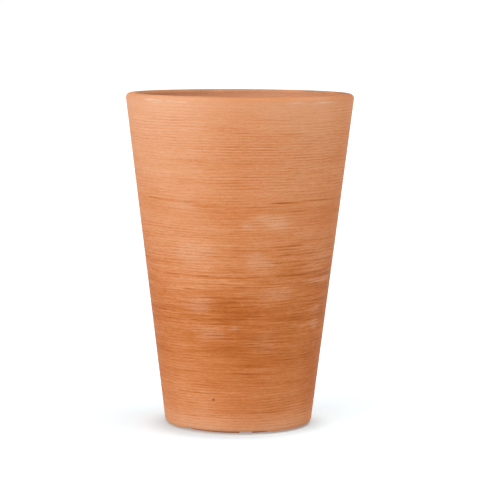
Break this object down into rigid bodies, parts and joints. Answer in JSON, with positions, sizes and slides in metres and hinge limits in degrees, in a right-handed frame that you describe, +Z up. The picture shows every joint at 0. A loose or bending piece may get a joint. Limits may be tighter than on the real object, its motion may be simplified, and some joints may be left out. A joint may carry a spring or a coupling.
{
  "type": "tall tapered terracotta pot",
  "caption": "Tall, plain, tapered terracotta flower pot with a soft rounded lip, a drain hole in its floor and low foot pads with drainage channels between them.",
  "frame": {"origin": "middle of the footprint, on the surface that the pot stands on", "axes": "+Z up along the pot's axis, -Y towards the front, +X to the right of someone facing the front"},
  "size_m": [0.3426, 0.3426, 0.5],
  "materials": {
    "wall_clay": "matte",
    "floor_clay": "matte",
    "foot_clay": "matte"
  },
  "bodies": {
    "root": {"wall": "wall_clay", "floor": "floor_clay", "foot_pad_front_right": "foot_clay", "foot_pad_right": "foot_clay", "foot_pad_back_right": "foot_clay", "foot_pad_back_left": "foot_clay", "foot_pad_left": "foot_clay", "foot_pad_front_left": "foot_clay"}
  },
  "joints": []
}
